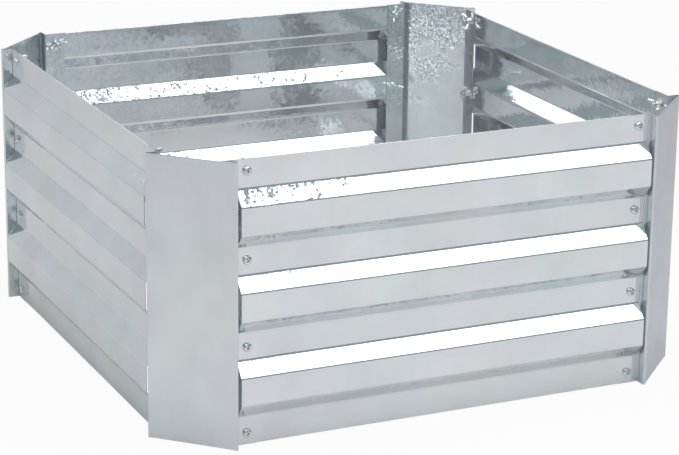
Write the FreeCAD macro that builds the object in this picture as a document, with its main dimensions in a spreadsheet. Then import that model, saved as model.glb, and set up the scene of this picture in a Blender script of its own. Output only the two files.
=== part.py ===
import FreeCAD, Part
import math
import os
import Sketcher
from FreeCAD import Placement, Rotation, Vector

# Square raised garden bed of galvanised sheet, open at the top and the bottom. Four corrugated
# panels stand between four bent corner pieces and are bolted to the flanges behind their ends.
# Millimetres; +Z up, +Y to the back; the origin is the middle of the footprint on the ground.

document = FreeCAD.newDocument("RaisedGardenBed")
size_sheet = document.addObject("Spreadsheet::Sheet", "Sizes")

SIZES = (
    ("bedWidth", 610.0, "left to right, over the rib crowns"),
    ("bedDepth", 610.0, "front to back, over the rib crowns"),
    ("bedHeight", 298.0, "height of the walls"),
    ("panelSheet", 0.6, "sheet of the corrugated panels"),
    ("cornerSheet", 0.8, "sheet of the corner pieces"),
    ("ribDepth", 12.7, "how far a rib stands out of its panel"),
    ("ribCount", 3, "ribs on each panel"),
    ("ribEdge", 60.4, "from a wall's top and bottom to the middle of its outer ribs"),
    ("ribBase", 59.5, "rib height where it leaves the flat sheet"),
    ("ribCrown", 28.5, "height of the rib's flat outer face"),
    ("ribFoot", 2.5, "flat sheet above and below the rib's bends"),
    ("ribBend", 1.5, "inside radius of the rib's bends"),
    ("hemHeight", 4.4, "height of the folded hems"),
    ("hemClearance", 1.0, "from a panel's hem to the flange beside it"),
    ("cornerLeg", 70.5, "from the outer plane of one wall to the web of the next"),
    ("cornerBend", 0.8, "inside radius of the corner piece's bends"),
    ("cornerHemSetback", 6.0, "from a plate's upright edge to the end of its hem"),
    ("flangeWidth", 23.0, "from the web to the flange's free edge"),
    ("panelEndGap", 3.0, "from a panel's cut end to the web"),
    ("boltRows", 4, "bolts at each panel end"),
    ("boltEdge", 12.2, "from a wall's top and bottom to its outer bolts"),
    ("boltInset", 13.7, "from the web to the bolts"),
    ("threadDiameter", 5.0, "screw thread, across corners"),
    ("holeClearance", 0.8, "added to the thread for the holes in the sheets"),
    ("screwLength", 12.0, "below the head"),
    ("headDiameter", 9.5, "pan head"),
    ("headHeight", 3.4, "pan head"),
    ("headBevel", 1.3, "bevel round the top of the pan head"),
    ("threadClearance", 0.6, "added to the thread for the nut's bore"),
    ("hubWidth", 9.4, "nut hub across"),
    ("hubHeight", 6.2, "nut hub"),
    ("wingSpan", 22.0, "over both wings"),
    ("wingHeight", 10.2, "from the flange to the top of the wings"),
    ("wingEar", 3.1, "radius of a wing's round end"),
    ("wingSheet", 1.9, "thickness of a wing"),
    ("wingRoot", 0.6, "from the hub's ends to the wing's root"),
    ("headSides", 12, "sides of a screw's head"),
    ("hardwareSides", 8, "sides of the other hardware and of the bolt holes"),
    ("screwSeamTurn", 31.0, "degrees from a seam's first screw to the next seam's"),
    ("screwTurn", 47.0, "degrees from a screw to the one above it"),
    ("nutSeamTurn", 37.0, "degrees from a seam's first nut to the next seam's"),
    ("nutTurn", 64.0, "degrees from a nut to the one above it"),
)

for row, (alias, value, note) in enumerate(SIZES, start=1):
    size_sheet.set(f"A{row}", alias)
    size_sheet.set(f"B{row}", str(value))
    size_sheet.setAlias(f"B{row}", alias)
    size_sheet.set(f"C{row}", note)
document.recompute()


def sized(words):
    """Turn bare size names in a formula into references to the sheet."""
    parts = words.replace("(", "( ").replace(")", " )").split()
    names = {alias for alias, _, _ in SIZES}
    return " ".join(f"Sizes.{part}" if part in names else part for part in parts)


def value_of(words):
    return float(size_sheet.evalExpression(sized(words)))


def bind(thing, target, words):
    thing.setExpression(target, sized(words))


# The places that pieces share, as formulas of the sizes above.
valley = "( ribDepth + panelSheet )"
flange_inside = "( ribDepth + panelSheet + cornerSheet )"
edge_radius = "( cornerBend + cornerSheet )"
half_height = "bedHeight / 2"
rib_pitch = "( ( bedHeight - 2 * ribEdge ) / ( ribCount - 1 ) )"
bolt_pitch = "( ( bedHeight - 2 * boltEdge ) / ( boltRows - 1 ) )"
bolt_hole = "( threadDiameter + holeClearance )"
plate_inside = f"( cornerLeg / sqrt(2) - {edge_radius} + cornerSheet )"


# ---- sketching and solid features ----

def new_body(label):
    body = document.addObject("PartDesign::Body", label)
    body.Label = label
    return body


def origin_of(body, role):
    return next(item for item in body.Origin.OriginFeatures if item.Role == role)


def new_sketch(body, name, plane):
    sketch = body.newObject("Sketcher::SketchObject", name)
    sketch.AttachmentSupport = (origin_of(body, plane), "")
    sketch.MapMode = "FlatFace"
    return sketch


def hold(sketch, geometry_index, point, across=None, up=None):
    """Tie a point of the sketch to its distances from the sketch's origin."""
    for kind, words in (("DistanceX", across), ("DistanceY", up)):
        if words is not None:
            constraint = Sketcher.Constraint(kind, -1, 1, geometry_index, point, value_of(words))
            bind(sketch, f"Constraints[{sketch.addConstraint(constraint)}]", words)


def hold_radius(sketch, geometry_index, words):
    constraint = Sketcher.Constraint("Radius", geometry_index, value_of(words))
    bind(sketch, f"Constraints[{sketch.addConstraint(constraint)}]", words)


def sketch_lines(sketch, points):
    """Draw an open chain of lines."""
    lines = sketch.addGeometry([Part.LineSegment(start, end) for start, end in zip(points, points[1:])])
    joints = [Sketcher.Constraint("Coincident", lines[i], 2, lines[i + 1], 1) for i in range(len(lines) - 1)]
    sketch.addConstraint(joints)
    return lines


def add_outline(sketch, corners):
    """Draw a closed outline of straight sides through corners given as formulas."""
    points = [Vector(value_of(across), value_of(up)) for across, up in corners]
    lines = sketch_lines(sketch, points + points[:1])
    sketch.addConstraint(Sketcher.Constraint("Coincident", lines[-1], 2, lines[0], 1))
    for line, (across, up) in zip(lines, corners):
        hold(sketch, line, 1, across, up)


def add_rectangle(sketch, left, right, bottom, top):
    xs = value_of(left), value_of(right)
    ys = value_of(bottom), value_of(top)
    corners = [Vector(xs[0], ys[0]), Vector(xs[1], ys[0]), Vector(xs[1], ys[1]), Vector(xs[0], ys[1])]
    sides = sketch.addGeometry([Part.LineSegment(corners[i], corners[(i + 1) % 4]) for i in range(4)])
    rules = [Sketcher.Constraint("Coincident", sides[i], 2, sides[(i + 1) % 4], 1) for i in range(4)]
    rules += [Sketcher.Constraint("Horizontal", sides[i]) for i in (0, 2)]
    rules += [Sketcher.Constraint("Vertical", sides[i]) for i in (1, 3)]
    sketch.addConstraint(rules)
    hold(sketch, sides[0], 1, left, bottom)
    hold(sketch, sides[2], 1, right, top)


def add_polygon(sketch, sides, across, up, diameter):
    """Draw a regular polygon; diameter is over its corners, and one corner lies level with its centre."""
    count = int(value_of(sides))
    centre = Vector(value_of(across), value_of(up))
    spokes = [2 * math.pi * number / count for number in range(count)]
    radius = value_of(diameter) / 2
    corners = [centre + Vector(math.cos(spoke), math.sin(spoke)) * radius for spoke in spokes]
    circle = sketch.addGeometry(Part.Circle(centre, Vector(0, 0, 1), radius), True)
    edges = sketch_lines(sketch, corners + corners[:1])
    rules = [Sketcher.Constraint("Coincident", edges[-1], 2, edges[0], 1)]
    rules += [Sketcher.Constraint("PointOnObject", edge, 1, circle) for edge in edges]
    rules += [Sketcher.Constraint("Equal", edges[0], edge) for edge in edges[1:]]
    sketch.addConstraint(rules)
    hold(sketch, circle, 3, across, up)
    hold(sketch, edges[0], 1, up=up)
    hold_radius(sketch, circle, f"( {diameter} ) / 2")


def add_bent_strip(sketch, corners, sheet, bend, side):
    """Draw the section of a bent sheet.

    corners are the sharp corners of one face, in order, as formulas. The sheet lies to the left
    of that path where side is 1 and to the right where it is -1; bend is its inside radius.
    """
    thickness = value_of(sheet)
    inside = value_of(bend)
    points = [Vector(value_of(across), value_of(up)) for across, up in corners]
    steps = [(end - start).normalize() for start, end in zip(points, points[1:])]
    through = [Vector(-step.y, step.x) * side * thickness for step in steps]

    # For each of the two faces: its lines, its arcs and how each arc meets the lines.
    ends = {True: [points[0]], False: [points[0] + through[0]]}
    arcs = {True: [], False: []}
    turns = []
    for index in range(1, len(steps)):
        before, after = steps[index - 1], steps[index]
        turn = math.copysign(1, before.cross(after).z)
        turns.append(turn)
        angle = before.getAngle(after)
        face_radius = inside + thickness if turn == side else inside
        setback = face_radius * math.tan(angle / 2)
        arrive = points[index] - before * setback
        leave = points[index] + after * setback
        centre = arrive + Vector(-before.y, before.x) * turn * face_radius
        for on_face in (True, False):
            shift = (Vector(), Vector()) if on_face else (through[index - 1], through[index])
            start, end = arrive + shift[0], leave + shift[1]
            first, last = (start, end) if turn > 0 else (end, start)
            circle = Part.Circle(centre, Vector(0, 0, 1), (start - centre).Length)
            arcs[on_face].append(Part.ArcOfCircle(circle, circle.parameter(first), circle.parameter(last)))
            ends[on_face] += [start, end]
    ends[True].append(points[-1])
    ends[False].append(points[-1] + through[-1])

    line_of, arc_of = {}, {}
    for on_face in (True, False):
        pairs = zip(ends[on_face][0::2], ends[on_face][1::2])
        line_of[on_face] = sketch.addGeometry([Part.LineSegment(start, end) for start, end in pairs])
        arc_of[on_face] = sketch.addGeometry(arcs[on_face])
    caps = sketch.addGeometry([
        Part.LineSegment(ends[True][0], ends[False][0]),
        Part.LineSegment(ends[True][-1], ends[False][-1]),
    ])
    sharp = sketch.addGeometry([Part.Point(point) for point in points[1:-1]], True)

    rules = []
    for on_face in (True, False):
        for index, turn in enumerate(turns):
            arrive, leave = (1, 2) if turn > 0 else (2, 1)
            arc = arc_of[on_face][index]
            rules.append(Sketcher.Constraint("Tangent", line_of[on_face][index], 2, arc, arrive))
            rules.append(Sketcher.Constraint("Tangent", line_of[on_face][index + 1], 1, arc, leave))
    for index, point in enumerate(sharp):
        rules.append(Sketcher.Constraint("PointOnObject", point, 1, line_of[True][index]))
        rules.append(Sketcher.Constraint("PointOnObject", point, 1, line_of[True][index + 1]))
    for face_line, back_line in zip(line_of[True], line_of[False]):
        rules.append(Sketcher.Constraint("Parallel", face_line, back_line))
    for cap, place, line in ((caps[0], 1, 0), (caps[1], 2, -1)):
        rules.append(Sketcher.Constraint("Coincident", cap, 1, line_of[True][line], place))
        rules.append(Sketcher.Constraint("Coincident", cap, 2, line_of[False][line], place))
        rules.append(Sketcher.Constraint("Perpendicular", cap, line_of[True][line]))
    sketch.addConstraint(rules)

    for face_line, back_line in zip(line_of[True], line_of[False]):
        constraint = Sketcher.Constraint("Distance", back_line, 1, face_line, thickness)
        bind(sketch, f"Constraints[{sketch.addConstraint(constraint)}]", sheet)
    for index, turn in enumerate(turns):
        outside = f"{bend} + {sheet}"
        hold_radius(sketch, arc_of[turn == side][index], outside if turn == side else bend)
        hold_radius(sketch, arc_of[turn != side][index], bend if turn == side else outside)
    for point, (across, up) in zip(sharp, corners[1:-1]):
        hold(sketch, point, 1, across, up)
    hold(sketch, line_of[True][0], 1, *corners[0])
    hold(sketch, line_of[True][-1], 2, *corners[-1])


def add_hem(sketch, sheet, top):
    """Draw a closed hem's section: the sheet is left of the axis and folds over to the right."""
    thickness = value_of(sheet)
    fold = value_of(f"{top} - {sheet}")
    foot = value_of(f"{top} - hemHeight")
    circle = Part.Circle(Vector(0, fold), Vector(0, 0, 1), thickness)
    places = [(thickness, fold), (thickness, foot), (0, foot), (0, fold), (-thickness, fold)]
    lines = sketch_lines(sketch, [Vector(*place) for place in places])
    arc = sketch.addGeometry(Part.ArcOfCircle(circle, 0, math.pi))
    sketch.addConstraint([
        Sketcher.Constraint("Coincident", lines[0], 1, arc, 1),
        Sketcher.Constraint("Coincident", lines[3], 2, arc, 2),
        Sketcher.Constraint("Coincident", lines[3], 1, arc, 3),
        Sketcher.Constraint("Vertical", lines[0]),
        Sketcher.Constraint("Horizontal", lines[1]),
        Sketcher.Constraint("Horizontal", lines[3]),
        Sketcher.Constraint("PointOnObject", lines[2], 1, -2),
        Sketcher.Constraint("PointOnObject", lines[2], 2, -2),
        Sketcher.Constraint("PointOnObject", arc, 1, lines[3]),
    ])
    hold_radius(sketch, arc, sheet)
    hold(sketch, arc, 3, up=f"{top} - {sheet}")
    hold(sketch, lines[1], 1, up=f"{top} - hemHeight")


def add_pad(body, name, sketch, length):
    pad = body.newObject("PartDesign::Pad", name)
    pad.Profile = (sketch, [""])
    pad.Midplane = True
    bind(pad, "Length", length)
    return pad


def add_pocket(body, name, sketch, length=None):
    pocket = body.newObject("PartDesign::Pocket", name)
    pocket.Profile = (sketch, [""])
    pocket.Midplane = True
    if length is None:
        pocket.Type = "ThroughAll"
    else:
        bind(pocket, "Length", length)
    return pocket


def add_row(body, name, features, count, pitch):
    """Repeat features upwards."""
    pattern = body.newObject("PartDesign::LinearPattern", name)
    pattern.Originals = features
    pattern.Direction = (origin_of(body, "Z_Axis"), [""])
    bind(pattern, "Occurrences", count)
    bind(pattern, "Length", f"{pitch} * ( {count} - 1 )")
    body.Tip = pattern
    return pattern


def add_mirror(body, name, features, plane):
    mirror = body.newObject("PartDesign::Mirrored", name)
    mirror.Originals = features
    mirror.MirrorPlane = (origin_of(body, plane), [""])
    body.Tip = mirror
    return mirror


def start_of_row(sketch, edge):
    """Lower a sketch to the first place of a row, which is that far above the wall's foot."""
    bind(sketch, "AttachmentOffset.Base.y", f"{edge} - {half_height}")


# ---- corrugated panel ----

def make_panel(label, bed_length):
    """A panel's origin is the middle of its inner face; it bulges towards -Y."""
    body = new_body(label)
    length = f"{bed_length} - 2 * ( cornerLeg + panelEndGap )"

    blank = new_sketch(body, label + "_blank_section", "YZ_Plane")
    blank_top = f"{half_height} - panelSheet"
    add_rectangle(blank, "0 - panelSheet", "0", f"0 - ( {blank_top} )", blank_top)
    add_pad(body, label + "_blank", blank, length)

    hem = new_sketch(body, label + "_hem_section", "YZ_Plane")
    add_hem(hem, "panelSheet", half_height)
    hem_length = f"{bed_length} - 2 * ( cornerLeg + flangeWidth + hemClearance )"
    hem_pad = add_pad(body, label + "_hem", hem, hem_length)
    add_mirror(body, label + "_hems", [hem_pad], "XY_Plane")

    rib_end = "( ribBase / 2 + ribFoot )"
    opening = new_sketch(body, label + "_rib_opening", "YZ_Plane")
    start_of_row(opening, "ribEdge")
    add_rectangle(opening, "0 - panelSheet", "0", f"0 - {rib_end}", rib_end)
    opening_cut = add_pocket(body, label + "_rib_cut", opening, length)

    rib = new_sketch(body, label + "_rib_section", "YZ_Plane")
    start_of_row(rib, "ribEdge")
    corners = (
        ("0", f"0 - {rib_end}"),
        ("0", "0 - ribBase / 2"),
        ("0 - ribDepth", "0 - ribCrown / 2"),
        ("0 - ribDepth", "ribCrown / 2"),
        ("0", "ribBase / 2"),
        ("0", rib_end),
    )
    add_bent_strip(rib, corners, "panelSheet", "ribBend", 1)
    rib_pad = add_pad(body, label + "_rib", rib, length)
    add_row(body, label + "_ribs", [opening_cut, rib_pad], "ribCount", rib_pitch)

    holes = new_sketch(body, label + "_hole_pair", "XZ_Plane")
    start_of_row(holes, "boltEdge")
    from_middle = bolt_line(bed_length)
    add_polygon(holes, "hardwareSides", from_middle, "0", bolt_hole)
    add_polygon(holes, "hardwareSides", f"0 - {from_middle}", "0", bolt_hole)
    hole_cut = add_pocket(body, label + "_hole_cut", holes)
    add_row(body, label + "_holes", [hole_cut], "boltRows", bolt_pitch)
    return body


def bolt_line(bed_length):
    """Say how far a panel's bolts are from its middle."""
    return f"( {bed_length} / 2 - cornerLeg - boltInset )"


# ---- corner piece ----

def make_corner(label):
    """A corner piece's origin is where the outer planes of its two walls cross, at mid height."""
    body = new_body(label)
    tip = f"0 - sqrt(2) * {edge_radius}"
    flange_end = "cornerLeg + flangeWidth"
    corners = (
        (flange_end, valley),
        ("cornerLeg", valley),
        ("cornerLeg", tip),
        (tip, "cornerLeg"),
        (valley, "cornerLeg"),
        (valley, flange_end),
    )
    section = new_sketch(body, label + "_section", "XY_Plane")
    add_bent_strip(section, corners, "cornerSheet", "cornerBend", -1)
    add_pad(body, label + "_blank", section, "bedHeight")

    hem_length = "sqrt(2) * cornerLeg - 2 * cornerHemSetback"
    fold = f"{half_height} - cornerSheet"
    relief = new_sketch(body, label + "_hem_relief", "YZ_Plane")
    turn_to_plate(relief)
    add_rectangle(relief, "0 - cornerSheet", "0", fold, half_height)
    relief_cut = add_pocket(body, label + "_relief_cut", relief, hem_length)
    hem = new_sketch(body, label + "_hem_section", "YZ_Plane")
    turn_to_plate(hem)
    add_hem(hem, "cornerSheet", half_height)
    hem_pad = add_pad(body, label + "_hem", hem, hem_length)
    add_mirror(body, label + "_hems", [relief_cut, hem_pad], "XY_Plane")

    cuts = []
    for name, plane in (("first", "XZ_Plane"), ("second", "YZ_Plane")):
        hole = new_sketch(body, f"{label}_{name}_hole", plane)
        start_of_row(hole, "boltEdge")
        add_polygon(hole, "hardwareSides", "cornerLeg + boltInset", "0", bolt_hole)
        cuts.append(add_pocket(body, f"{label}_{name}_hole_cut", hole))
    add_row(body, label + "_holes", cuts, "boltRows", bolt_pitch)
    return body


def turn_to_plate(sketch):
    """Turn a sketch into the upright plane square to the plate, on the plate's inner face."""
    half_corner = 45
    sketch.AttachmentOffset = Placement(Vector(), Rotation(Vector(0, 1, 0), -half_corner))
    bind(sketch, "AttachmentOffset.Base.x", f"{plate_inside} / sqrt(2)")
    bind(sketch, "AttachmentOffset.Base.z", f"{plate_inside} / sqrt(2)")


# ---- screw and wing nut ----

def add_prism(body, name, diameter, length, sides="hardwareSides", bore=None, towards_y=True):
    """Raise a regular prism along the Y axis, with a bore through it where one is given."""
    outline = new_sketch(body, name + "_outline", "XZ_Plane")
    outline.MapReversed = towards_y
    add_polygon(outline, sides, "0", "0", diameter)
    if bore is not None:
        add_polygon(outline, sides, "0", "0", bore)
    prism = body.newObject("PartDesign::Pad", name)
    prism.Profile = (outline, [""])
    bind(prism, "Length", length)
    return prism


def make_screw():
    """Pan-head screw along +Y; the origin is on its axis under the head."""
    body = new_body("pan_head_screw")
    add_prism(body, "shank", "threadDiameter", "screwLength")
    head = add_prism(body, "head", "headDiameter", "headHeight", "headSides", towards_y=False)
    document.recompute()

    top = min(range(len(head.Shape.Faces)), key=lambda number: head.Shape.Faces[number].CenterOfMass.y)
    bevel = body.newObject("PartDesign::Chamfer", "head_bevel")
    bevel.Base = (head, [f"Face{top + 1}"])
    bind(bevel, "Size", "headBevel")
    return body


def make_wing_nut():
    """Wing nut along +Y; the origin is on its axis, on the face against the flange."""
    body = new_body("wing_nut")
    bore_width = "threadDiameter + threadClearance"
    add_prism(body, "hub", "hubWidth", "hubHeight", bore=bore_width)

    wing = new_sketch(body, "wing_outline", "XY_Plane")
    root = f"( {bore_width} + hubWidth ) / 4"
    ear_x, ear_y = "wingSpan / 2 - wingEar", "wingHeight - wingEar"
    round_end = [(f"{ear_x} + wingEar * cos( {turn} )", f"{ear_y} + wingEar * sin( {turn} )")
                 for turn in (-55, 0, 45, 90, 135)]
    add_outline(wing, [(root, "wingRoot"), *round_end, (root, "hubHeight - wingRoot")])
    wing_pad = add_pad(body, "wing", wing, "wingSheet")
    add_mirror(body, "wings", [wing_pad], "YZ_Plane")
    return body


def make_fastener_row(label, fastener, seam, seam_turn, turn):
    """Link the same fastener at each bolt hole of a panel's end, each stopped at its own angle."""
    links = []
    for number in range(int(value_of("boltRows"))):
        link = document.addObject("App::Link", f"{label}_{number + 1}")
        link.LinkedObject = fastener
        stop = value_of(f"{seam_turn} * {seam} + {turn} * {number}")
        link.Placement = Placement(Vector(), Rotation(Vector(0, 1, 0), stop))
        bind(link, "Placement.Base.z", f"boltEdge + {bolt_pitch} * {number} - {half_height}")
        links.append(link)
    group = document.addObject("Part::Compound", label)
    group.Label = label
    group.Links = links
    return group


# ---- putting the bed together ----

def place(thing, quarter_turns, across, outwards):
    """Place a thing on one wall of the bed.

    The wall faces -Y before it is turned. across runs along the wall and outwards from the
    middle of the bed to the wall, both as formulas that read right for that wall.
    """
    turn = Rotation(Vector(0, 0, 1), 90 * quarter_turns)
    thing.Placement = Placement(Vector(), turn)
    formulas = (
        (across, f"0 - ( {outwards} )"),
        (outwards, across),
        (f"0 - ( {across} )", outwards),
        (f"0 - ( {outwards} )", f"0 - ( {across} )"),
    )[quarter_turns]
    for axis, words in zip("xy", formulas):
        bind(thing, f"Placement.Base.{axis}", words)
    bind(thing, "Placement.Base.z", half_height)


screw = make_screw()
wing_nut = make_wing_nut()
pieces = []
sides = ("front", "right", "back", "left")
for quarter_turns, side in enumerate(sides):
    along, across_bed = ("bedWidth", "bedDepth") if quarter_turns % 2 == 0 else ("bedDepth", "bedWidth")

    panel = make_panel(f"panel_{side}", along)
    place(panel, quarter_turns, "0", f"{across_bed} / 2 - {valley}")
    pieces.append(panel)

    # Seen from outside, each wall's corner piece is the one at its left end.
    before = sides[quarter_turns - 1]
    names = {side, before}
    corner_name = "_".join(name for name in ("front", "back", "left", "right") if name in names)
    corner = make_corner(f"corner_{corner_name}")
    place(corner, quarter_turns, f"0 - {along} / 2", f"{across_bed} / 2")
    pieces.append(corner)

    for end, sign in ((before, "0 - "), (sides[(quarter_turns + 1) % 4], "")):
        seam = 2 * quarter_turns + (1 if sign else 0)
        across = sign + bolt_line(along)
        screws = make_fastener_row(f"screws_{side}_{end}", screw, seam, "screwSeamTurn", "screwTurn")
        place(screws, quarter_turns, across, f"{across_bed} / 2 - ribDepth")
        nuts = make_fastener_row(f"wing_nuts_{side}_{end}", wing_nut, seam + 1, "nutSeamTurn", "nutTurn")
        place(nuts, quarter_turns, across, f"{across_bed} / 2 - {flange_inside}")
        pieces += [screws, nuts]

document.recompute()

for thing in document.Objects:
    if "Invalid" in thing.State or "Error" in thing.State:
        raise RuntimeError(f"{thing.Name} failed: {thing.State}")
    if thing.TypeId == "Sketcher::SketchObject" and not thing.FullyConstrained:
        raise RuntimeError(f"{thing.Name} isn't fully constrained")
for piece in pieces:
    if piece.Shape.isNull() or not piece.Shape.isValid():
        raise RuntimeError(f"{piece.Label} has no valid shape")

os.makedirs("parts", exist_ok=True)
for piece in pieces:
    piece.Shape.exportStep(f"parts/{piece.Label}.step")
    print(piece.Label, len(piece.Shape.Solids), round(piece.Shape.Volume, 1))
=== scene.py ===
import math

import bmesh
import bpy
from mathutils import Matrix, Vector


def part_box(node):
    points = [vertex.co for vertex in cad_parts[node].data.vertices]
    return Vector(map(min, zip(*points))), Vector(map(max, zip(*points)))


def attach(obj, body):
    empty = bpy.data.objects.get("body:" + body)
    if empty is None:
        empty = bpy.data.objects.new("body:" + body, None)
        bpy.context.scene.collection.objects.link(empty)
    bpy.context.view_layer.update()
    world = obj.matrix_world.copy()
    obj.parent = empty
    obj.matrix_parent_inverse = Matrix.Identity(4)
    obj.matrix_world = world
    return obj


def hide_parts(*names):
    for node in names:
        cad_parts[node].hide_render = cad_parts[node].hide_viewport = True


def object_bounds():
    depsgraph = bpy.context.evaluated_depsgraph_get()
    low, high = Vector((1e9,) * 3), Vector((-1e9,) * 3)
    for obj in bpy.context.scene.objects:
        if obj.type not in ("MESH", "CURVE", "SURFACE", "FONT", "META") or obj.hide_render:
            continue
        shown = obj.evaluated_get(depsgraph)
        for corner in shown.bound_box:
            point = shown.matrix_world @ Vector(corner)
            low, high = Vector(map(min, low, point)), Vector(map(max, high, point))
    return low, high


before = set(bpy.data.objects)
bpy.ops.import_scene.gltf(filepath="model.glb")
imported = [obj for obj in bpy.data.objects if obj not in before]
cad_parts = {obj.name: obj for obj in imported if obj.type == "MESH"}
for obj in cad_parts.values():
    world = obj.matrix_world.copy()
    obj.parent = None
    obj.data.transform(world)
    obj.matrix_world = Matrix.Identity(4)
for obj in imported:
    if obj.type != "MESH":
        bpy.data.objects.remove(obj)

frameLow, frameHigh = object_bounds()
panelLow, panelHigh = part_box("panel_front")
quarterTurns = {"front": 0, "right": 1, "back": 2, "left": 3}  # each wall is the front one, turned
cornerOfWall = {"front": "front_left", "right": "front_right", "back": "back_right", "left": "back_left"}
endsOfWall = {"front": ("left", "right"), "right": ("front", "back"), "back": ("right", "left"),
              "left": ("back", "front")}
hair, sliver = 1e-5, 1e-4  # nearer than a hair is the same place; a sliver is clear of a cut


def selectNothing():
    if bpy.context.mode != "OBJECT":
        bpy.ops.object.mode_set(mode="OBJECT")
    bpy.ops.object.select_all(action="DESELECT")


def openForEditing(piece):
    selectNothing()
    piece.select_set(True)
    bpy.context.view_layer.objects.active = piece
    bpy.ops.object.mode_set(mode="EDIT")
    bpy.ops.mesh.select_mode(type="EDGE")


def selectEdges(piece, wanted):
    mesh = bmesh.from_edit_mesh(piece.data)
    for part in (*mesh.faces, *mesh.edges, *mesh.verts):
        part.select_set(False)
    for edge in mesh.edges:
        if wanted(edge):
            edge.select_set(True)
    mesh.select_flush_mode()
    bmesh.update_edit_mesh(piece.data)


def selectFaces(piece, wanted):
    mesh = bmesh.from_edit_mesh(piece.data)
    for part in (*mesh.faces, *mesh.edges, *mesh.verts):
        part.select_set(False)
    for face in mesh.faces:
        if wanted(face):
            face.select_set(True)
    bmesh.update_edit_mesh(piece.data)


def middleOf(edge):
    return (edge.verts[0].co + edge.verts[1].co) / 2


def atLevel(edge, level):
    return abs(middleOf(edge).z - level) < hair


def extrudeBy(step):
    bpy.ops.mesh.extrude_region_move(TRANSFORM_OT_translate={"value": tuple(step)})


def applyModifiers(piece):
    selectNothing()
    piece.select_set(True)
    bpy.context.view_layer.objects.active = piece
    for modifier in list(piece.modifiers):
        bpy.ops.object.modifier_apply(modifier=modifier.name)


def applyPlace():
    bpy.ops.object.transform_apply(location=True, rotation=True, scale=True)


def turnedCopy(piece, name, turns):
    copy = piece.copy()
    copy.data = piece.data.copy()
    copy.name = copy.data.name = name
    bpy.context.collection.objects.link(copy)
    copy.data.transform(Matrix.Rotation(turns * math.pi / 2, 4, "Z"))
    return copy


def remove(piece):
    bpy.data.objects.remove(piece, do_unlink=True)


# Every inner point of a path becomes an arc of its own radius.
def roundedPath(path, radii, steps):
    points = [path[0]]
    for before, point, after, radius in zip(path, path[1:], path[2:], radii):
        backwards, onwards = (before - point).normalized(), (after - point).normalized()
        turn = math.pi - backwards.angle(onwards)
        centre = point + (backwards + onwards).normalized() * radius / math.cos(turn / 2)
        reach = radius * math.tan(turn / 2)
        spoke = point + backwards * reach - centre
        axis = spoke.cross(point + onwards * reach - centre)
        for number in range(steps + 1):
            points.append(centre + Matrix.Rotation(turn * number / steps, 3, axis) @ spoke)
    points.append(path[-1])
    return points


# The strip is a plane between the first two points of its path, and its edge is drawn on from there.
def bentStrip(name, path, along):
    selectNothing()
    bpy.ops.mesh.primitive_plane_add(size=1)
    strip = bpy.context.object
    strip.name = strip.data.name = name
    step = path[1] - path[0]
    matrix = Matrix((along, step, along.cross(step).normalized())).transposed().to_4x4()
    matrix.translation = (path[0] + path[1]) / 2
    strip.matrix_world = matrix
    applyPlace()
    openForEditing(strip)
    selectEdges(strip, lambda edge: (middleOf(edge) - path[1]).length < hair)
    for start, end in zip(path[1:], path[2:]):
        extrudeBy(end - start)
    return strip


def cutAcross(strip, point, normal):
    bpy.ops.mesh.select_all(action="SELECT")
    bpy.ops.mesh.bisect(plane_co=point, plane_no=normal)


# A hem bends over from the sheet's own edge in a half circle and comes back along the sheet.
def foldHem(strip, onEdge, up, inwards, sizes):
    radius = foldRadius(sizes)
    selectEdges(strip, onEdge)
    reached = Vector((0, 0, 0))
    for number in range(1, sizes["hemSteps"] + 1):
        angle = math.pi * number / sizes["hemSteps"]
        point = inwards * radius * (1 - math.cos(angle)) + up * radius * math.sin(angle)
        extrudeBy(point - reached)
        reached = point
    extrudeBy(up * (radius + sizes["sheet"] / 2 - sizes["hemHeight"]))


def foldRadius(sizes):
    return (sizes["sheet"] + sizes["hemGap"]) / 2


def foldStart(sizes):
    return foldRadius(sizes) + sizes["sheet"] / 2


def thicken(piece, sheet):
    wall = piece.modifiers.new("wall", "SOLIDIFY")
    wall.thickness = sheet
    wall.offset = 0
    wall.use_even_offset = True
    # the rims take the second material: bare cut edge, darkened as painted shade
    wall.material_offset_rim = 1


# The sheet only sinks inwards, so it stays inside its own outline.
def waver(piece, sizes, inwards, weightOf):
    group = piece.vertex_groups.new(name="free")
    for vertex in piece.data.vertices:
        group.add([vertex.index], weightOf(vertex.co), "REPLACE")
    clouds = bpy.data.textures.new(piece.name + "Waves", "CLOUDS")
    clouds.noise_scale = sizes["waveSize"]
    clouds.noise_depth = 1
    for axis, share in zip("XY", inwards):
        if abs(share) > 0.1:
            wave = piece.modifiers.new("wave" + axis, "DISPLACE")
            wave.direction = axis
            wave.texture = clouds
            wave.texture_coords = "LOCAL"
            wave.strength = -sizes["wave"] * share
            wave.mid_level = 1
            wave.vertex_group = group.name


def smoothStep(value):
    value = min(1, max(0, value))
    return value * value * (3 - 2 * value)


panel = {
    "sheet": 0.0006,
    "ribs": 3,
    "ribEdge": 0.0604,  # from the top and the bottom to the middle of the outer ribs
    "ribDepth": 0.0127,
    "ribBase": 0.0595,
    "ribCrown": 0.0285,
    "crownBend": 0.003,  # radii in the middle of the sheet
    "valleyBend": 0.005,
    "bendSteps": 7,
    "hemHeight": 0.0044,
    "hemGap": 0.0002,
    "hemSteps": 6,
    "hemInset": 0.021,  # from a panel's end to its hem
    "edgeCuts": 3,
    "spanCuts": 44,
    "faceCuts": 3,
    "leastFace": 0.01,  # narrower faces, such as those of the bends, aren't cut
    "wave": 0.0007,  # how far the sheet wanders from flat
    "waveSize": 0.16,
    "stillEnd": 0.035,  # held flat by the bolts
    "softAngle": 40,  # bends turn less than this at each step
}


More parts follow.
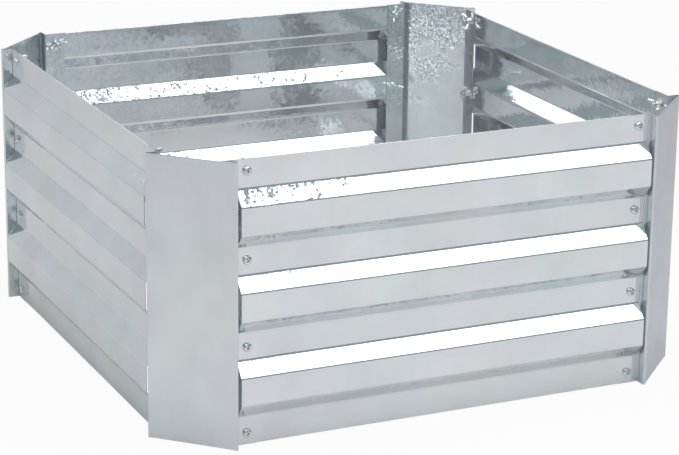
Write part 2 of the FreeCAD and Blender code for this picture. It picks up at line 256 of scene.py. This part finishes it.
def panelPath():
    height = panelHigh.z - panelLow.z
    valley = panelLow.y + panel["ribDepth"] + panel["sheet"] / 2
    crown = panelLow.y + panel["sheet"] / 2
    slope = math.atan2(panel["ribDepth"], (panel["ribBase"] - panel["ribCrown"]) / 2)
    shift = panel["sheet"] / 2 * math.tan(slope / 2)  # from the sheet's inner face to its middle
    base, top = panel["ribBase"] / 2 + shift, panel["ribCrown"] / 2 + shift
    pitch = (height - 2 * panel["ribEdge"]) / (panel["ribs"] - 1)
    path = [Vector((0, valley, foldStart(panel)))]
    for number in range(panel["ribs"]):
        middle = panel["ribEdge"] + pitch * number
        path += [Vector((0, valley, middle - base)), Vector((0, crown, middle - top)),
                 Vector((0, crown, middle + top)), Vector((0, valley, middle + base))]
    path.append(Vector((0, valley, height - foldStart(panel))))
    return path


def makePanel():
    length = panelHigh.x - panelLow.x
    hemEnd = length / 2 - panel["hemInset"]
    along = Vector((length, 0, 0))
    path = panelPath()
    valley, crown = panel["valleyBend"], panel["crownBend"]
    strip = bentStrip("panelBlank", roundedPath(path, (valley, crown, crown, valley) * panel["ribs"],
                                                panel["bendSteps"]), along)

    def fromMiddle(edge):
        return abs(middleOf(edge).x)
    for side in (-1, 1):
        cutAcross(strip, (side * hemEnd, 0, 0), (1, 0, 0))
    for sign, level in ((1, path[-1].z), (-1, path[0].z)):
        selectEdges(strip, lambda edge: atLevel(edge, level) and fromMiddle(edge) > hemEnd)
        extrudeBy((0, 0, sign * foldStart(panel)))
        foldHem(strip, lambda edge: atLevel(edge, level) and fromMiddle(edge) < hemEnd - sliver,
                Vector((0, 0, sign)), Vector((0, 1, 0)), panel)

    def runsAlong(edge):
        return abs((edge.verts[1].co - edge.verts[0].co).normalized().x) > 0.99
    selectEdges(strip, lambda edge: runsAlong(edge) and fromMiddle(edge) > hemEnd)
    bpy.ops.mesh.subdivide(number_cuts=panel["edgeCuts"])
    selectEdges(strip, lambda edge: runsAlong(edge) and edge.calc_length() > hemEnd)
    bpy.ops.mesh.subdivide(number_cuts=panel["spanCuts"])
    selectEdges(strip, lambda edge: not runsAlong(edge) and edge.calc_length() > panel["leastFace"])
    bpy.ops.mesh.subdivide(number_cuts=panel["faceCuts"])
    bpy.ops.object.mode_set(mode="OBJECT")
    return strip


corner = {
    "sheet": 0.0008,
    "leg": 0.0705,
    "flange": 0.023,
    "bend": 0.0012,
    "bendSteps": 5,
    "hemHeight": 0.0044,
    "hemGap": 0.0002,
    "hemSteps": 6,
    "hemInset": 0.006,
    "heightCuts": 30,
    "faceCuts": 6,
    "leastFace": 0.04,
    "wave": 0.0005,
    "waveSize": 0.13,
    "stillDepth": 0.004,  # only the plate wanders, and less towards its upright edges
    "stillSpan": 0.07,
    "softAngle": 40,
}


def cornerPath(start):
    half = corner["sheet"] / 2
    valley = panel["ribDepth"] + panel["sheet"] + half
    web = corner["leg"] - half
    edgeRadius = corner["bend"] + half
    # on the plate, the plan's two distances add up to web and plate
    plate = corner["leg"] - math.sqrt(2) * edgeRadius + math.sqrt(2) * half - web
    end = corner["leg"] + corner["flange"]
    plan = [(end, valley), (web, valley), (web, plate), (plate, web), (valley, web), (valley, end)]
    return [start + Vector((across, deep, 0)) for across, deep in plan]


def makeCorner():
    height = frameHigh.z - frameLow.z
    start = Vector((frameLow.x, frameLow.y, height / 2))
    path = cornerPath(start)
    along = Vector((0, 0, height))
    radii = [corner["bend"]] * (len(path) - 2)
    strip = bentStrip("cornerBlank", roundedPath(path, radii, corner["bendSteps"]), along)

    plateMiddle = (path[2] + path[3]) / 2
    across = (path[3] - path[2]).normalized()
    inwards = Vector((1, 1, 0)).normalized()
    hemEnd = (path[3] - path[2]).length / 2 - corner["hemInset"]

    def onPlate(point):
        offset = point - plateMiddle
        return abs(offset.dot(inwards)) < sliver and abs(offset.dot(across)) < hemEnd - sliver
    for side in (-1, 1):
        cutAcross(strip, plateMiddle + across * hemEnd * side, across)
    for sign in (1, -1):
        level = height / 2 + sign * (height / 2 - foldStart(corner))
        cutAcross(strip, (0, 0, level), (0, 0, 1))
        selectFaces(strip, lambda face: onPlate(face.calc_center_median())
                    and (face.calc_center_median().z - level) * sign > 0)
        bpy.ops.mesh.delete(type="FACE")
        foldHem(strip, lambda edge: atLevel(edge, level) and onPlate(middleOf(edge))
                and edge.is_boundary, Vector((0, 0, sign)), inwards, corner)

    selectEdges(strip, lambda edge: edge.calc_length() > height / 2)
    bpy.ops.mesh.subdivide(number_cuts=corner["heightCuts"])
    selectEdges(strip, lambda edge: edge.calc_length() > corner["leastFace"])
    bpy.ops.mesh.subdivide(number_cuts=corner["faceCuts"])
    bpy.ops.object.mode_set(mode="OBJECT")
    return strip


screwShape = {
    "headRadius": 0.00475,
    "headSides": 32,
    "rim": 0.0011,
    "dome": ((0.97, 0.0007), (0.88, 0.0007), (0.70, 0.0006), (0.42, 0.0003)),  # share of the radius, rise
    "recessReach": 0.0026,
    "recessSlot": 0.0011,
    "recessDepth": 0.0020,
    "recessTaper": 0.45,
    "recessRise": 0.0002,  # its cutter stands above the dome by this
    "shankRadius": 0.0021,
    "shankSides": 20,
    "shankSink": 0.0002,  # into the head
    "tipInset": 0.0005,
    "tipRise": 0.0002,
    "threadRadius": 0.0025,
    "threadSteps": 18,
    "threadStart": 0.001,  # from the tip
    "ridgeFoot": 0.42,  # half widths of the thread's ridge, as shares of the pitch
    "ridgeTop": 0.07,
    "ridgeSink": 0.0001,
    "pitch": 0.0008,
    "length": 0.012,
    "plainNeck": 0.0008,
}
nutShape = {
    "footRadius": 0.0047,
    "topRadius": 0.0041,
    "boreRadius": 0.00262,
    "height": 0.0062,
    "sides": 32,
    "rimBevel": 0.0004,
    "rimSteps": 3,
    "wingLevels": 2,
    # sections of a wing: out from the axis, off the flange, half height and half thickness
    "wing": ((0.0030, 0.0031, 0.0028, 0.0022), (0.0052, 0.0044, 0.0031, 0.0019),
             (0.0074, 0.0062, 0.0038, 0.0018), (0.0097, 0.0070, 0.0042, 0.0017),
             (0.0114, 0.0071, 0.0031, 0.0014)),
}


# Modelled upright, with the head upwards, and laid on its side when it is placed.
def makeScrew():
    selectNothing()
    bpy.ops.mesh.primitive_cylinder_add(vertices=screwShape["headSides"], radius=screwShape["headRadius"],
                                        depth=screwShape["rim"], location=(0, 0, screwShape["rim"] / 2))
    head = bpy.context.object
    openForEditing(head)
    selectFaces(head, lambda face: face.normal.z > 0.9)
    reached = 1
    for share, rise in screwShape["dome"]:
        extrudeBy((0, 0, rise))
        bpy.ops.transform.resize(value=(share / reached, share / reached, 1))
        reached = share
    selectNothing()
    top = max(vertex.co.z for vertex in head.data.vertices)

    cutters = []
    for turn in (0, 1):
        bpy.ops.mesh.primitive_cube_add(size=1, location=(0, 0, top + screwShape["recessRise"]))
        cutter = bpy.context.object
        cutter.scale = (2 * screwShape["recessReach"], screwShape["recessSlot"],
                        2 * screwShape["recessDepth"])
        cutter.rotation_euler.z = turn * math.pi / 2
        applyPlace()
        openForEditing(cutter)
        selectFaces(cutter, lambda face: face.normal.z < -0.9)
        bpy.ops.transform.resize(value=(screwShape["recessTaper"], screwShape["recessTaper"], 1))
        selectNothing()
        cutters.append(cutter)
    for cutter in cutters:
        cut = head.modifiers.new("recess", "BOOLEAN")
        cut.operation = "DIFFERENCE"
        cut.solver = "EXACT"
        cut.object = cutter
    applyModifiers(head)
    for cutter in cutters:
        remove(cutter)

    coreLength = screwShape["length"]
    bpy.ops.mesh.primitive_cylinder_add(vertices=screwShape["shankSides"], radius=screwShape["shankRadius"],
                                        depth=coreLength,
                                        location=(0, 0, screwShape["shankSink"] - coreLength / 2))
    core = bpy.context.object
    openForEditing(core)
    selectFaces(core, lambda face: face.normal.z < -0.9)
    bpy.ops.mesh.inset(thickness=screwShape["tipInset"])
    bpy.ops.transform.translate(value=(0, 0, -screwShape["tipRise"]))
    selectNothing()

    thread = makeThread(coreLength)
    for part in (head, core, thread):
        part.select_set(True)
    bpy.context.view_layer.objects.active = head
    bpy.ops.object.join()
    return finishPattern("screwPattern")


def finishPattern(name):
    applyPlace()
    pattern = bpy.context.object
    pattern.name = pattern.data.name = name
    return pattern


def makeThread(coreLength):
    selectNothing()
    bpy.ops.mesh.primitive_plane_add(size=1)
    thread = bpy.context.object
    openForEditing(thread)
    bpy.ops.mesh.select_all(action="DESELECT")
    mesh = bmesh.from_edit_mesh(thread.data)
    mesh.verts.ensure_lookup_table()
    # the plane becomes the ridge's section, standing on the core, a little sunk into it
    root, crest = screwShape["shankRadius"] - screwShape["ridgeSink"], screwShape["threadRadius"]
    pitch, foot, top = screwShape["pitch"], screwShape["ridgeFoot"], screwShape["ridgeTop"]
    section = ((root, -foot), (root, foot), (crest, top), (crest, -top))
    order = sorted(mesh.verts, key=lambda vertex: math.atan2(vertex.co.y, vertex.co.x))
    for vertex, (out, share) in zip(order, section):
        vertex.co = Vector((out, 0, share * pitch - coreLength + screwShape["threadStart"]))
    bmesh.update_edit_mesh(thread.data)
    bpy.ops.mesh.select_all(action="SELECT")
    bpy.ops.mesh.delete(type="ONLY_FACE")
    bpy.ops.object.mode_set(mode="OBJECT")
    coil = thread.modifiers.new("coil", "SCREW")
    coil.axis = "Z"
    coil.steps = coil.render_steps = screwShape["threadSteps"]
    coil.screw_offset = pitch
    coil.iterations = int((coreLength - screwShape["plainNeck"] - screwShape["threadStart"]) / pitch)
    coil.use_merge_vertices = True
    applyModifiers(thread)
    openForEditing(thread)
    selectEdges(thread, lambda edge: edge.is_boundary)
    bpy.ops.mesh.fill()
    bpy.ops.mesh.select_all(action="SELECT")
    bpy.ops.mesh.normals_make_consistent(inside=False)
    selectNothing()
    return thread


# Modelled upright, standing on the flange.
def makeWingNut():
    selectNothing()
    height = nutShape["height"]
    bpy.ops.mesh.primitive_cone_add(vertices=nutShape["sides"], radius1=nutShape["footRadius"],
                                    radius2=nutShape["topRadius"], depth=height,
                                    location=(0, 0, height / 2))
    hub = bpy.context.object
    openForEditing(hub)
    for sign, outer in ((1, nutShape["topRadius"]), (-1, nutShape["footRadius"])):
        selectFaces(hub, lambda face: face.normal.z * sign > 0.9)
        bpy.ops.mesh.inset(thickness=outer - nutShape["boreRadius"])
    selectFaces(hub, lambda face: abs(face.normal.z) > 0.9 and len(face.verts) > 4)
    bpy.ops.mesh.delete(type="FACE")
    selectEdges(hub, lambda edge: edge.is_boundary)
    bpy.ops.mesh.bridge_edge_loops()
    selectEdges(hub, lambda edge: abs(edge.verts[0].co.z - edge.verts[1].co.z) < hair
                and middleOf(edge).z > height * 0.9)
    bpy.ops.mesh.bevel(offset=nutShape["rimBevel"], segments=nutShape["rimSteps"], profile=0.5,
                       affect="EDGES")
    selectNothing()

    wings = [makeWing(side) for side in (1, -1)]
    for part in (hub, *wings):
        part.select_set(True)
    bpy.context.view_layer.objects.active = hub
    bpy.ops.object.join()
    return finishPattern("wingNutPattern")


def makeWing(side):
    out, up, halfHeight, halfThick = nutShape["wing"][0]
    selectNothing()
    bpy.ops.mesh.primitive_plane_add(size=2, location=(side * out, 0, up),
                                     rotation=(0, side * math.pi / 2, 0))
    wing = bpy.context.object
    wing.scale = (halfHeight, halfThick, 1)
    applyPlace()
    openForEditing(wing)
    bpy.ops.mesh.select_all(action="SELECT")
    for number, section in enumerate(nutShape["wing"][1:]):
        before = nutShape["wing"][number]
        extrudeBy((side * (section[0] - before[0]), 0, section[1] - before[1]))
        bpy.ops.transform.resize(value=(1, section[3] / before[3], section[2] / before[2]))
    bpy.ops.mesh.select_all(action="SELECT")
    bpy.ops.mesh.normals_make_consistent(inside=False)
    bpy.ops.object.mode_set(mode="OBJECT")
    soft = wing.modifiers.new("soft", "SUBSURF")
    soft.levels = soft.render_levels = nutShape["wingLevels"]
    applyModifiers(wing)
    selectNothing()
    return wing


bolts = {
    "rows": 4,
    "edge": 0.0122,
    "inset": 0.0137,
    "screwTurns": (31, 47),  # degrees from seam to seam, and from row to row
    "nutTurns": (37, 64),
    "softAngle": 35,
}


# One row of four stands on the front wall's left or right seam, and is turned to its own wall.
def makeRow(pattern, name, side, seam, turns, level, pointing):
    height = frameHigh.z - frameLow.z
    pitch = (height - 2 * bolts["edge"]) / (bolts["rows"] - 1)
    across = frameHigh.x - corner["leg"] - bolts["inset"]
    copies = []
    selectNothing()
    for number in range(bolts["rows"]):
        copy = pattern.copy()
        copy.data = pattern.data.copy()
        bpy.context.collection.objects.link(copy)
        turn = math.radians(turns[0] * seam + turns[1] * number)
        place = Matrix.Translation((across * side, level, bolts["edge"] + pitch * number))
        lie = Matrix.Rotation(pointing * math.pi / 2, 4, "X")
        copy.data.transform(place @ lie @ Matrix.Rotation(turn, 4, "Z"))
        copies.append(copy)
    for copy in copies:
        copy.select_set(True)
    bpy.context.view_layer.objects.active = copies[0]
    bpy.ops.object.join()
    row = bpy.context.object
    row.name = row.data.name = name
    return row


def smooth(piece, degrees):
    selectNothing()
    piece.select_set(True)
    bpy.context.view_layer.objects.active = piece
    bpy.ops.object.shade_smooth_by_angle(angle=math.radians(degrees))
    level = piece.modifiers.new("level", "WEIGHTED_NORMAL")  # broad faces keep their own direction
    level.keep_sharp = True
    bpy.ops.object.modifier_apply(modifier=level.name)


def socket(group, name, kind, direction, value=None):
    made = group.interface.new_socket(name=name, in_out=direction, socket_type=kind)
    if value is not None:
        made.default_value = value
    return made


def node(tree, kind, **settings):
    made = tree.nodes.new(kind)
    for name, value in settings.items():
        setattr(made, name, value)
    return made


zincCoat = {
    "Crystals per metre": 320,
    "Crystal tilt": 0.02,
    "Patches per metre": 24,
    "Patch share": 0.115,
    "Patch fade": 0.07,
    "Patch tilt": 0.2,
    "Patches on slopes only": 0,  # 1 keeps them to slopes that look up to the front or the back
    "Clouding": 0.24,
    "Tinting": 0.13,
    "Streaking": 0.05,
    "Smooth roughness": 0.07,
    "Patch roughness": 0.12,
    "Ripples per metre": 26,
    "Ripple depth": 0.0004,
}
zincPattern = {
    "warpScale": 260,
    "warpReach": 0.0025,
    "patchEdge": 0.07,
    "patchDrift": (-0.9, 0.47, 2.0),  # there are more patches to the left, at the back and near the top
    "slope": (0.25, 0.5),  # the normal's rise from which a slope counts, and fully counts
    "cloudScale": 16,
    "streakScale": (150, 150, 7),
    "tintScale": 11,
    "metallic": 0.82,  # the rest is matt, so that deep folds keep some light
}


# Each zinc crystal leans its own way, more so in patches, and slow clouds lie over them all.
def makeZincGroup():
    group = bpy.data.node_groups.new("zincCoat", "ShaderNodeTree")
    socket(group, "Colour", "NodeSocketColor", "INPUT", (0.6, 0.6, 0.6, 1))
    for name, value in zincCoat.items():
        socket(group, name, "NodeSocketFloat", "INPUT", value)
    socket(group, "Colour", "NodeSocketColor", "OUTPUT")
    socket(group, "Roughness", "NodeSocketFloat", "OUTPUT")
    socket(group, "Normal", "NodeSocketVector", "OUTPUT")
    link = group.links.new
    given = node(group, "NodeGroupInput").outputs
    result = node(group, "NodeGroupOutput").inputs
    place = node(group, "ShaderNodeTexCoord").outputs["Object"]

    def join(value, slot):
        if isinstance(value, (int, float, tuple)):
            slot.default_value = value
        else:
            link(value, slot)

    def maths(kind, first, second):
        made = node(group, "ShaderNodeMath", operation=kind)
        join(first, made.inputs[0])
        join(second, made.inputs[1])
        return made.outputs[0]

    def vectors(kind, first, second):
        made = node(group, "ShaderNodeVectorMath", operation=kind)
        join(first, made.inputs[0])
        join(second, made.inputs["Scale" if kind == "SCALE" else 1])
        return made.outputs[0]

    def noise(vector, scale, detail):
        made = node(group, "ShaderNodeTexNoise", noise_dimensions="3D")
        link(vector, made.inputs["Vector"])
        join(scale, made.inputs["Scale"])
        made.inputs["Detail"].default_value = detail
        return made.outputs

    def ranged(value, low, high):
        made = node(group, "ShaderNodeMapRange", interpolation_type="SMOOTHSTEP")
        join(low, made.inputs["From Min"])
        join(high, made.inputs["From Max"])
        link(value, made.inputs["Value"])
        return made.outputs["Result"]

    warp = vectors("SCALE", noise(place, zincPattern["warpScale"], 2)["Color"], zincPattern["warpReach"])
    crystals = node(group, "ShaderNodeTexVoronoi", feature="F1", voronoi_dimensions="3D")
    link(vectors("ADD", place, warp), crystals.inputs["Vector"])
    link(given["Crystals per metre"], crystals.inputs["Scale"])

    edge = maths("SUBTRACT", 1.0, given["Patch share"])
    patchNoise = noise(place, given["Patches per metre"], 4)["Fac"]
    drift = node(group, "ShaderNodeVectorMath", operation="DOT_PRODUCT")
    link(place, drift.inputs[0])
    drift.inputs[1].default_value = zincPattern["patchDrift"]
    patchLevel = maths("ADD", patchNoise, drift.outputs["Value"])
    anywhere = ranged(patchLevel, maths("SUBTRACT", edge, zincPattern["patchEdge"]),
                      maths("ADD", edge, given["Patch fade"]))
    straight = node(group, "ShaderNodeNewGeometry").outputs["Normal"]
    parts = node(group, "ShaderNodeSeparateXYZ")
    link(straight, parts.inputs[0])
    sideways = maths("ABSOLUTE", parts.outputs["X"], 0)  # the two side walls stay even
    rising = ranged(maths("SUBTRACT", parts.outputs["Z"], sideways), *zincPattern["slope"])
    slopeShare = maths("MAXIMUM", rising, maths("SUBTRACT", 1.0, given["Patches on slopes only"]))
    patches = maths("MULTIPLY", anywhere, slopeShare)

    lean = maths("ADD", given["Crystal tilt"], maths("MULTIPLY", patches, given["Patch tilt"]))
    centred = vectors("SUBTRACT", crystals.outputs["Color"], (0.5, 0.5, 0.5))
    leaned = vectors("ADD", straight, vectors("SCALE", centred, lean))
    unit = node(group, "ShaderNodeVectorMath", operation="NORMALIZE")
    link(leaned, unit.inputs[0])
    bump = node(group, "ShaderNodeBump")
    bump.inputs["Strength"].default_value = 1
    link(given["Ripple depth"], bump.inputs["Distance"])
    link(noise(place, given["Ripples per metre"], 1)["Fac"], bump.inputs["Height"])
    link(unit.outputs[0], bump.inputs["Normal"])
    link(bump.outputs["Normal"], result["Normal"])

    extraRough = maths("MULTIPLY", patches, given["Patch roughness"])
    link(maths("ADD", given["Smooth roughness"], extraRough), result["Roughness"])

    clouds = maths("SUBTRACT", noise(place, zincPattern["cloudScale"], 4)["Fac"], 0.5)
    stretched = vectors("MULTIPLY", place, zincPattern["streakScale"])
    streaks = maths("SUBTRACT", noise(stretched, 1, 2)["Fac"], 0.5)
    cloudTone = maths("MULTIPLY", clouds, given["Clouding"])
    tone = maths("ADD", cloudTone, maths("MULTIPLY", streaks, given["Streaking"]))
    tints = vectors("SUBTRACT", noise(place, zincPattern["tintScale"], 3)["Color"], (0.5, 0.5, 0.5))
    tinted = vectors("ADD", vectors("SCALE", tints, given["Tinting"]), (1, 1, 1))
    shaded = vectors("SCALE", tinted, maths("ADD", tone, 1.0))
    link(vectors("MULTIPLY", given["Colour"], shaded), result["Colour"])
    return group


def zincMaterial(name, group, look):
    material = bpy.data.materials.new(name)
    material.use_nodes = True
    tree = material.node_tree
    steel = tree.nodes["Principled BSDF"]
    steel.inputs["Metallic"].default_value = zincPattern["metallic"]
    steel.inputs["Specular Tint"].default_value = (*look.get("grazing", (1, 1, 1)), 1)
    coat = node(tree, "ShaderNodeGroup", node_tree=group)
    coat.inputs["Colour"].default_value = (*look["colour"], 1)
    for key, value in look["values"].items():
        coat.inputs[key].default_value = value
    tree.links.new(coat.outputs["Colour"], steel.inputs["Base Color"])
    tree.links.new(coat.outputs["Roughness"], steel.inputs["Roughness"])
    tree.links.new(coat.outputs["Normal"], steel.inputs["Normal"])
    return material


steelLook = {
    "panel": {"colour": (0.835, 0.868, 0.888), "grazing": (0.93, 0.93, 0.93),
              "values": {"Patches on slopes only": 1, "Patch fade": 0.5, "Patch tilt": 0.42}},
    "corner": {"colour": (0.765, 0.805, 0.83), "grazing": (0.74, 0.73, 0.76),
               "values": {"Patch share": 0.21, "Patch tilt": 0.12, "Crystals per metre": 950,
                          "Smooth roughness": 0.25, "Patch roughness": -0.17, "Ripples per metre": 20}},
    # The cut edges are bare steel, and their colour is darkened further as painted shade, for the shadow in
    # the gap between a panel's end and a corner's web.
    "cutEdgeAndPaintedShade": {"colour": (0.44, 0.48, 0.50),
                "values": {"Smooth roughness": 0.3, "Ripples per metre": 400, "Ripple depth": 0.0001}},
    "screw": {"colour": (0.79, 0.80, 0.81),
              "values": {"Crystals per metre": 900, "Ripples per metre": 700, "Ripple depth": 0.00008}},
    "wingNut": {"colour": (0.84, 0.86, 0.87),
                "values": {"Crystals per metre": 900, "Ripples per metre": 700, "Ripple depth": 0.00012}},
}


def dress(piece, *materials):
    piece.data.materials.clear()
    for material in materials:
        piece.data.materials.append(material)


def standFor(piece, replaced):
    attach(piece, "root")
    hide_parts(replaced)


zinc = makeZincGroup()
steel = {name: zincMaterial(name + "Zinc", zinc, look) for name, look in steelLook.items()}
print("materials made")

panelBlank = makePanel()
reach = panelHigh.x
for wall, turns in quarterTurns.items():
    piece = turnedCopy(panelBlank, "corrugatedPanel" + wall.title(), turns)
    inwards = Matrix.Rotation(turns * math.pi / 2, 3, "Z") @ Vector((0, 1, 0))
    waver(piece, panel, inwards,
          lambda place: smoothStep((reach - panel["hemInset"] - abs(place[turns % 2])) / panel["stillEnd"]))
    thicken(piece, panel["sheet"])
    dress(piece, steel["panel"], steel["cutEdgeAndPaintedShade"])
    applyModifiers(piece)
    smooth(piece, panel["softAngle"])
    standFor(piece, "panel_" + wall)
remove(panelBlank)
print("panels made")

cornerBlank = makeCorner()
plateAway = abs(frameLow.x) * 2 - corner["leg"]
for wall, turns in quarterTurns.items():
    name = cornerOfWall[wall]
    piece = turnedCopy(cornerBlank, "cornerPiece" + name.title().replace("_", ""), turns)
    inwards = Matrix.Rotation(turns * math.pi / 2, 3, "Z") @ Vector((1, 1, 0)).normalized()
    waver(piece, corner, inwards,
          lambda place: smoothStep((abs(place.x) + abs(place.y) - plateAway) / corner["stillDepth"] + 1)
          * smoothStep(1 - abs(abs(place.x) - abs(place.y)) / corner["stillSpan"]))
    thicken(piece, corner["sheet"])
    dress(piece, steel["corner"], steel["cutEdgeAndPaintedShade"])
    applyModifiers(piece)
    smooth(piece, corner["softAngle"])
    standFor(piece, "corner_" + name)
remove(cornerBlank)
print("corner pieces made")

screwPattern = makeScrew()
nutPattern = makeWingNut()
valleyFace = frameLow.y + panel["ribDepth"]
flangeFace = valleyFace + panel["sheet"] + corner["sheet"]
for wall, turns in quarterTurns.items():
    for end, side in zip(endsOfWall[wall], (-1, 1)):
        seam = 2 * turns + (1 if side < 0 else 0)
        title = wall.title() + end.title()
        screws = makeRow(screwPattern, "screws" + title, side, seam, bolts["screwTurns"], valleyFace, 1)
        nuts = makeRow(nutPattern, "wingNuts" + title, side, seam + 1, bolts["nutTurns"], flangeFace, -1)
        for row, kind, slot in ((screws, "screw", "zinc_screw"), (nuts, "wingNut", "zinc_wing_nut")):
            row.data.transform(Matrix.Rotation(turns * math.pi / 2, 4, "Z"))
            dress(row, steel[kind])
            smooth(row, bolts["softAngle"])
            nodeName = ("screws_" if kind == "screw" else "wing_nuts_") + wall + "_" + end
            standFor(row, nodeName)
remove(screwPattern)
remove(nutPattern)
print("screws and wing nuts made")

studio = {
    "floorSize": 14.0,
    "floorLevel": -0.0003,
    "floorRoughness": 0.9,
    "floorColour": (0.82, 0.82, 0.825),
    "whiteForEye": 0.94,  # how far the floor is lifted to plain white where the camera sees it
    "whiteForGloss": 0.15,  # and where metal mirrors it
    "plainSky": (0.345, 0.35, 0.355),  # what lights the floor; metal mirrors the two sides instead
    "darkSide": (0.18, 0.25, 0.265),
    "brightSide": (0.58, 0.6, 0.62),
    "towards": (-0.35, 0.93, 0.12),  # from the dark side to the bright one
    "turning": (-0.25, 0.45),
    "key": {"place": (1.76, -1.8, 3.35), "aim": (0.0, 0.0, 0.25), "width": 1.8, "power": 20},
    "top": {"place": (0.15, -0.1, 3.2), "aim": (0.15, -0.1, 0.0), "width": 2.4, "power": 34},
    "front": {"place": (-0.6, -2.6, 2.6), "aim": (0.0, -0.9, 0.0), "width": 1.6, "power": 17},
    "low": {"place": (-1.62, 4.3, 2.3), "aim": (0.0, 0.0, 0.15), "width": 1.5, "power": 5.5},
}
camera = {
    "place": (-1.09622, -2.4006, 0.94175),
    "azimuth": -24.82,
    "elevation": 17.35,
    "roll": 0.69,
    "focal": 2446.84,  # pixels of the 679-pixel wide picture
    "frameWidth": 679,
    "sensor": 36.0,
    "clipEnd": 60,
}


def addCamera():
    turn, rise, roll = (math.radians(camera[key]) for key in ("azimuth", "elevation", "roll"))
    back = Vector((math.sin(turn) * math.cos(rise), -math.cos(turn) * math.cos(rise), math.sin(rise)))
    right = Vector((0, 0, 1)).cross(back).normalized()
    up = back.cross(right)
    rolledRight = right * math.cos(roll) + up * math.sin(roll)
    rolledUp = up * math.cos(roll) - right * math.sin(roll)
    matrix = Matrix((rolledRight, rolledUp, back)).transposed().to_4x4()
    matrix.translation = Vector(camera["place"])
    bpy.ops.object.camera_add()
    made = bpy.context.object
    made.matrix_world = matrix
    made.data.sensor_width = camera["sensor"]
    made.data.lens = camera["focal"] / camera["frameWidth"] * camera["sensor"]
    made.data.clip_end = camera["clipEnd"]
    bpy.context.scene.camera = made


def addSoftbox(name, values):
    bpy.ops.object.light_add(type="AREA", location=values["place"])
    lamp = bpy.context.object
    lamp.name = name
    lamp.data.shape = "DISK"
    lamp.data.size = values["width"]
    lamp.data.energy = values["power"]
    aim = Vector(values["aim"]) - Vector(values["place"])
    lamp.rotation_euler = aim.to_track_quat("-Z", "Y").to_euler()


def addWorld():
    world = bpy.data.worlds.new("studio")
    bpy.context.scene.world = world
    world.use_nodes = True
    tree = world.node_tree
    tree.nodes.clear()
    along = node(tree, "ShaderNodeVectorMath", operation="DOT_PRODUCT")
    tree.links.new(node(tree, "ShaderNodeTexCoord").outputs["Generated"], along.inputs[0])
    along.inputs[1].default_value = studio["towards"]
    share = node(tree, "ShaderNodeMapRange", interpolation_type="SMOOTHSTEP")
    share.inputs["From Min"].default_value, share.inputs["From Max"].default_value = studio["turning"]
    tree.links.new(along.outputs["Value"], share.inputs["Value"])
    blend = node(tree, "ShaderNodeMix", data_type="RGBA")
    tree.links.new(share.outputs["Result"], blend.inputs["Factor"])
    blend.inputs["A"].default_value = (*studio["darkSide"], 1)
    blend.inputs["B"].default_value = (*studio["brightSide"], 1)
    path = node(tree, "ShaderNodeLightPath")
    mirrored = node(tree, "ShaderNodeMix", data_type="RGBA")
    tree.links.new(path.outputs["Is Glossy Ray"], mirrored.inputs["Factor"])
    mirrored.inputs["A"].default_value = (*studio["plainSky"], 1)
    tree.links.new(blend.outputs["Result"], mirrored.inputs["B"])
    room = node(tree, "ShaderNodeBackground")
    tree.links.new(mirrored.outputs["Result"], room.inputs["Color"])
    white = node(tree, "ShaderNodeBackground")
    white.inputs["Color"].default_value = (1, 1, 1, 1)
    mix = node(tree, "ShaderNodeMixShader")
    tree.links.new(path.outputs["Is Camera Ray"], mix.inputs["Fac"])
    tree.links.new(room.outputs[0], mix.inputs[1])
    tree.links.new(white.outputs[0], mix.inputs[2])
    tree.links.new(mix.outputs[0], node(tree, "ShaderNodeOutputWorld").inputs["Surface"])


def addFloor():
    bpy.ops.mesh.primitive_plane_add(size=studio["floorSize"], location=(0, 0, studio["floorLevel"]))
    floor = bpy.context.object
    floor.name = "studioFloor"
    applyPlace()
    material = bpy.data.materials.new("paleFloor")
    material.use_nodes = True
    tree = material.node_tree
    pale = tree.nodes["Principled BSDF"]
    pale.inputs["Base Color"].default_value = (*studio["floorColour"], 1)
    pale.inputs["Roughness"].default_value = studio["floorRoughness"]
    glow = node(tree, "ShaderNodeEmission")
    path = node(tree, "ShaderNodeLightPath")
    forEye = node(tree, "ShaderNodeMath", operation="MULTIPLY")
    forEye.inputs[1].default_value = studio["whiteForEye"]
    tree.links.new(path.outputs["Is Camera Ray"], forEye.inputs[0])
    forGloss = node(tree, "ShaderNodeMath", operation="MULTIPLY_ADD")
    forGloss.inputs[1].default_value = studio["whiteForGloss"]
    tree.links.new(path.outputs["Is Glossy Ray"], forGloss.inputs[0])
    tree.links.new(forEye.outputs[0], forGloss.inputs[2])
    mix = node(tree, "ShaderNodeMixShader")
    tree.links.new(forGloss.outputs[0], mix.inputs["Fac"])
    tree.links.new(pale.outputs[0], mix.inputs[1])
    tree.links.new(glow.outputs[0], mix.inputs[2])
    tree.links.new(mix.outputs[0], tree.nodes["Material Output"].inputs["Surface"])
    floor.data.materials.append(material)


selectNothing()
addFloor()
addWorld()
for name in ("key", "top", "front", "low"):
    addSoftbox(name + "Softbox", studio[name])
addCamera()
selectNothing()
bpy.context.scene.view_settings.view_transform = "Standard"
print("studio ready")
